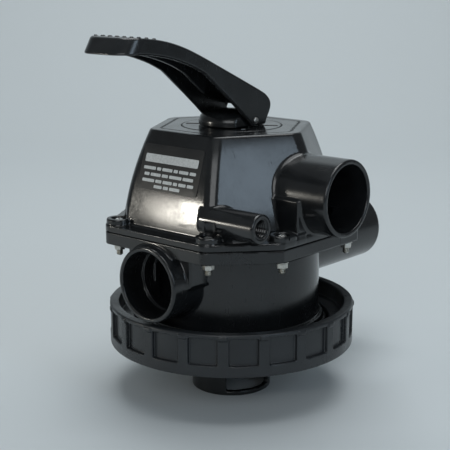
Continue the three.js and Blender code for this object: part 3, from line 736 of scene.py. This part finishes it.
# a bold bar for the heading, and four rows of short dashes for the lines under it
bars += [(-27.5, 24.5, 184.4, 190.2)]
rows = [(180.3, [12, 4, 10, 4, 9, 6]), (175.9, [5, 10, 6, 12, 10]), (171.5, [12, 6, 9, 4, 7, 6]), (167.6, [8, 5, 10])]
for z, words in rows:
    total = sum(words) + 1.3 * (len(words) - 1)
    x = -1.6 - total / 2
    for w in words:
        bars.append((x, x + w, z - 1.1, z + 1.1))
        x += w + 1.3
prints = join_patches("label_bars", [patch("b", x0, x1, z0, z1, 0.56, 0.10, min(0.9, (z1 - z0) * 0.3)) for x0, x1, z0, z1 in bars])
dress(prints, "print", "valve", "label_film")


# ---------------------------------------------------------------- threaded sleeve inside the gauge boss
def sleeve():
    na, nl = 64, 90
    x0, x1 = 61.0, 82.2
    verts, faces = [], []
    for j in range(nl):
        x = x0 + (x1 - x0) * j / (nl - 1)
        for i in range(na):
            a = 2 * math.pi * i / na
            ph = (x / 1.9 - i / na) % 1.0
            r = 5.7 + 0.75 * abs(2 * ph - 1)
            if j in (0, nl - 1):
                r = 6.6
            verts.append((x, -65 + r * math.cos(a), 149.6 + r * math.sin(a)))
    for j in range(2):
        x = (x0, x1)[j]
        for i in range(na):
            a = 2 * math.pi * i / na
            verts.append((x, -65 + 7.25 * math.cos(a), 149.6 + 7.25 * math.sin(a)))
    for j in range(nl - 1):
        for i in range(na):
            k = (i + 1) % na
            faces.append((j * na + i, j * na + k, (j + 1) * na + k, (j + 1) * na + i))
    o0, o1 = nl * na, nl * na + na
    for i in range(na):
        k = (i + 1) % na
        faces.append((o0 + i, o1 + i, o1 + k, o0 + k))
        faces.append((i, o0 + i, o0 + k, k))
        faces.append(((nl - 1) * na + k, o1 + k, o1 + i, (nl - 1) * na + i))
    return verts, faces


thread = join_patches("gauge_thread", [sleeve()])
dress(thread, "gloss", "valve", "black_gloss_plastic")


# ---------------------------------------------------------------- fasteners
def screw_head_field(X, Y, Z):
    R = np.sqrt(X * X + Y * Y)
    dome_ = np.sqrt(R * R + (Z + 2.2) ** 2) - 5.45
    s = I(I(R - 4.75, slab(Z, 0.0, 3.3), 0.4), dome_, 0.5)
    s = U(s, I(R - 2.5, slab(Z, -3.5, 1.0), 0.2), 0.2)
    a, b = np.abs(X), np.abs(Y)
    cross = np.minimum(np.maximum(a - 2.6, b - 0.55), np.maximum(b - 2.6, a - 0.55))
    taper = np.maximum(cross, 1.1 - Z + 0.35 * R)
    return D(s, taper, 0.15)


hp, hq, hg = surface(screw_head_field, (-5, -5, -3.8), (5, 5, 3.5), 0.28)
shaft_pts = [(0, 112.6), (1.7, 112.6), (2.2, 113.1)]
for i in range(14):
    shaft_pts += [(2.5, 113.4 + i * 0.62), (2.12, 113.7 + i * 0.62)]
shaft_pts += [(2.5, 122.4), (2.5, 133.6), (0, 133.6)]
for i, (x, y) in enumerate(BOLTS):
    k = i + 1
    t = rad(37 * i + 12)
    c, s_ = math.cos(t), math.sin(t)
    v = np.stack([hp[:, 0] * c - hp[:, 1] * s_ + x, hp[:, 0] * s_ + hp[:, 1] * c + y, hp[:, 2] + 137.35], 1)
    n = np.stack([hg[:, 0] * c - hg[:, 1] * s_, hg[:, 0] * s_ + hg[:, 1] * c, hg[:, 2]], 1)
    head = mesh_object(f"screw_head_{k}", v, hq, n)
    dress(head, "steel", "valve", "stainless_steel")
    shaft = lathe(f"screw_shaft_{k}", shaft_pts, 28, 25, (x, y, 0))
    dress(shaft, "plated", "valve", "stainless_steel", f"cover_screw_{k}")
    w = lathe(f"washer_ring_{k}", [(2.85, 120.75), (4.5, 120.65), (4.75, 120.8), (4.8, 121.2), (4.7, 121.6), (4.4, 121.7), (2.85, 121.7)], 40, 40, (x, y, 0))
    dress(w, "plated", "valve", "plated_hardware", f"screw_washer_{k}")

    # hexagon nut with chamfered corners and a threaded hole
    def nut_one(X, Y, Z, x=x, y=y, t=t):
        a, b = (X - x) * math.cos(t) + (Y - y) * math.sin(t), -(X - x) * math.sin(t) + (Y - y) * math.cos(t)
        r = np.sqrt(a * a + b * b)
        hexa = None
        for q in range(3):
            d = np.abs(a * math.cos(rad(60 * q)) + b * math.sin(rad(60 * q))) - 3.7
            hexa = d if hexa is None else np.maximum(hexa, d)
        s = I(hexa, slab(Z, 116.9, 120.35), 0.15)
        s = np.maximum(s, 0.82 * (r - 4.35 + 0.0 * Z) - 0.5 * (np.minimum(Z - 116.9, 120.35 - Z)))
        return D(s, r - 2.75, 0.2)

    if i == 0:
        np_, nq, ng = surface(lambda X, Y, Z: nut_one(X, Y, Z, 0.0, 0.0, 0.0), (-4.8, -4.8, 116.8), (4.8, 4.8, 120.5), 0.3)
    v = np.stack([np_[:, 0] * c - np_[:, 1] * s_ + x, np_[:, 0] * s_ + np_[:, 1] * c + y, np_[:, 2]], 1)
    n = np.stack([ng[:, 0] * c - ng[:, 1] * s_, ng[:, 0] * s_ + ng[:, 1] * c, ng[:, 2]], 1)
    nn = mesh_object(f"hex_nut_{k}", v, nq, n)
    dress(nn, "plated", "valve", "plated_hardware", f"screw_nut_{k}")

# ---------------------------------------------------------------- spring and rings inside
def tube_along(name, pts, r, sides=14):
    pts = np.array(pts, float)
    tan = np.gradient(pts, axis=0)
    tan /= np.linalg.norm(tan, axis=1)[:, None]
    verts, faces = [], []
    n = len(pts)
    for i in range(n):
        radial = np.array([pts[i, 0], pts[i, 1], 0.0])
        radial /= np.linalg.norm(radial)
        b = np.cross(tan[i], radial)
        b /= np.linalg.norm(b)
        a = np.cross(b, tan[i])
        rr = r * (0.55 if i in (0, n - 1) else 1.0)
        for k in range(sides):
            q = 2 * math.pi * k / sides
            verts.append(pts[i] + rr * (a * math.cos(q) + b * math.sin(q)))
    for i in range(n - 1):
        for k in range(sides):
            m = (k + 1) % sides
            faces.append((i * sides + k, i * sides + m, (i + 1) * sides + m, (i + 1) * sides + k))
    faces.append(tuple(range(sides))[::-1])
    faces.append(tuple((n - 1) * sides + k for k in range(sides)))
    return join_patches(name, [([tuple(v) for v in verts], faces)])


turns, z0, z1 = 4.5, 155.5, 180.9
coil = []
for i in range(200):
    u = i / 199
    a = u * turns * 2 * math.pi
    coil.append((18.5 * math.cos(a), 18.5 * math.sin(a), z0 + (z1 - z0) * u))
spring = tube_along("coil_spring", coil, 1.85)
dress(spring, "spring", "lift", "spring_steel", "spring")
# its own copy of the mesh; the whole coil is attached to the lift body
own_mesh(spring)


def ring_piece(name, R, r, z, mat, body, slot, node):
    prof = [(R + r * math.cos(rad(q)), z + r * math.sin(rad(q))) for q in range(0, 360, 24)]
    return dress(lathe(name, prof, 96, 60), mat, body, slot, node)


ring_piece("cover_seal", 64.5, 1.42, 129.9, "rubber", "valve", "seal_rubber", "cover_o_ring")
ring_piece("neck_seal", 72.1, 1.68, 47.0, "rubber", "valve", "seal_rubber", "tank_neck_o_ring")
ring_piece("stem_seal_lower", 11.05, 1.28, 189.2, "rubber", "diverter", "seal_rubber", "stem_o_ring_lower")
ring_piece("stem_seal_upper", 11.05, 1.28, 196.2, "rubber", "diverter", "seal_rubber", "stem_o_ring_upper")
for nm, z, body_, node in (("washer_low", 151.8, "lift", "spring_washer_lower"), ("washer_high", 183.2, "valve", "spring_washer_upper")):
    dress(lathe(nm, [(12.9, z + 0.1), (13.1, z), (23.8, z), (24, z + 0.2), (24, z + 1.2), (23.8, z + 1.4), (13.1, z + 1.4), (12.9, z + 1.3)], 72, 40), "spring", body_, "spring_steel", node)

# ---------------------------------------------------------------- CAD bodies that keep their shape
for node, mat in (("rotor", "rotor"), ("spider_gasket", "rubber")):
    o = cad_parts[node]
    o.data.materials.clear()
    o.data.materials.append(MAT[mat])
    o.data.shade_smooth()
    o.data.set_sharp_from_angle(angle=rad(32))
    bev = o.modifiers.new("edge", "BEVEL")
    bev.width = 0.0005
    bev.segments = 2
    bev.limit_method = "ANGLE"
    bev.angle_limit = rad(50)

# ---------------------------------------------------------------- stage: floor curving up into a wall
cam_pos = Vector((0.5480, -0.6385, 0.3254 - SEAT_Z / 1000))
YAW, PITCH = rad(-0.34), rad(13.17)
heading = rad(40.64)
FLOOR = -SEAT_Z / 1000


def backdrop():
    prof = [(-2.2, FLOOR)] + [(1.1 + 0.9 * math.sin(rad(a)), FLOOR + 0.9 * (1 - math.cos(rad(a)))) for a in range(0, 91, 5)] + [(2.0, 3.4)]
    fwd = Vector((-math.sin(heading), math.cos(heading), 0))
    side = Vector((math.cos(heading), math.sin(heading), 0))
    verts, faces = [], []
    for s in (-4.0, 4.0):
        for d, z in prof:
            p = fwd * d + side * s
            verts.append((p.x, p.y, z))
    n = len(prof)
    for i in range(n - 1):
        faces.append((i, n + i, n + i + 1, i + 1))
    me = bpy.data.meshes.new("backdrop")
    me.from_pydata(verts, [], faces)
    me.shade_smooth()
    o = bpy.data.objects.new("backdrop", me)
    bpy.context.scene.collection.objects.link(o)
    m = bpy.data.materials.new("paper")
    m.use_nodes = True
    b = m.node_tree.nodes["Principled BSDF"] if "Principled BSDF" in m.node_tree.nodes else m.node_tree.nodes.new("ShaderNodeBsdfPrincipled")
    b.inputs["Base Color"].default_value = (0.62, 0.665, 0.685, 1)
    b.inputs["Roughness"].default_value = 0.75
    o.data.materials.append(m)


backdrop()


def area(name, place, target, sx, sy, power, colour, spread=math.pi):
    L = bpy.data.lights.new(name, "AREA")
    L.shape = "RECTANGLE"
    L.size, L.size_y = sx, sy
    L.energy = power
    L.color = colour
    L.spread = spread
    o = bpy.data.objects.new(name, L)
    o.location = place
    o.rotation_euler = (Vector(target) - Vector(place)).to_track_quat("-Z", "Y").to_euler()
    bpy.context.scene.collection.objects.link(o)
    return o


area("softbox_right", (1.18, -0.20, 0.52), (0.05, -0.03, 0.12), 0.30, 0.62, 1.9, (0.66, 0.83, 1.0))
area("strip_left", (-0.77, -0.97, 0.16), (0.02, -0.07, 0.10), 0.05, 0.17, 1.9, (1.0, 0.96, 0.86))
area("overhead", (0.1, 0.1, 1.5), (0, 0, 0.1), 1.2, 1.2, 10.5, (0.96, 0.99, 1.0))
area("fill_front", (0.9, -1.5, 0.9), (0, 0, 0.1), 1.1, 0.8, 6.0, (0.95, 0.98, 1.0))
area("wash_wall", (-0.6, 0.7, 2.3), (-1.35, 1.5, 1.3), 1.4, 0.8, 22.0, (0.96, 0.99, 1.0))

view = bpy.context.scene.view_settings
view.view_transform = "Standard"
view.look = "None"

world = bpy.data.worlds.new("room")
bpy.context.scene.world = world
world.use_nodes = True
bg = world.node_tree.nodes.get("Background") or world.node_tree.nodes.new("ShaderNodeBackground")
bg.inputs["Color"].default_value = (0.86, 0.93, 0.97, 1)
bg.inputs["Strength"].default_value = 0.16

# ---------------------------------------------------------------- camera
cam_data = bpy.data.cameras.new("camera")
cam_data.sensor_width = 36.0
cam_data.lens = 1116.06 / 450 * 36.0
cam_data.clip_start = 0.01
cam = bpy.data.objects.new("camera", cam_data)
bpy.context.scene.collection.objects.link(cam)
a = heading - YAW
forward = Vector((-math.sin(a) * math.cos(PITCH), math.cos(a) * math.cos(PITCH), -math.sin(PITCH)))
cam.location = cam_pos
cam.rotation_euler = forward.to_track_quat("-Z", "Y").to_euler()
bpy.context.scene.camera = cam
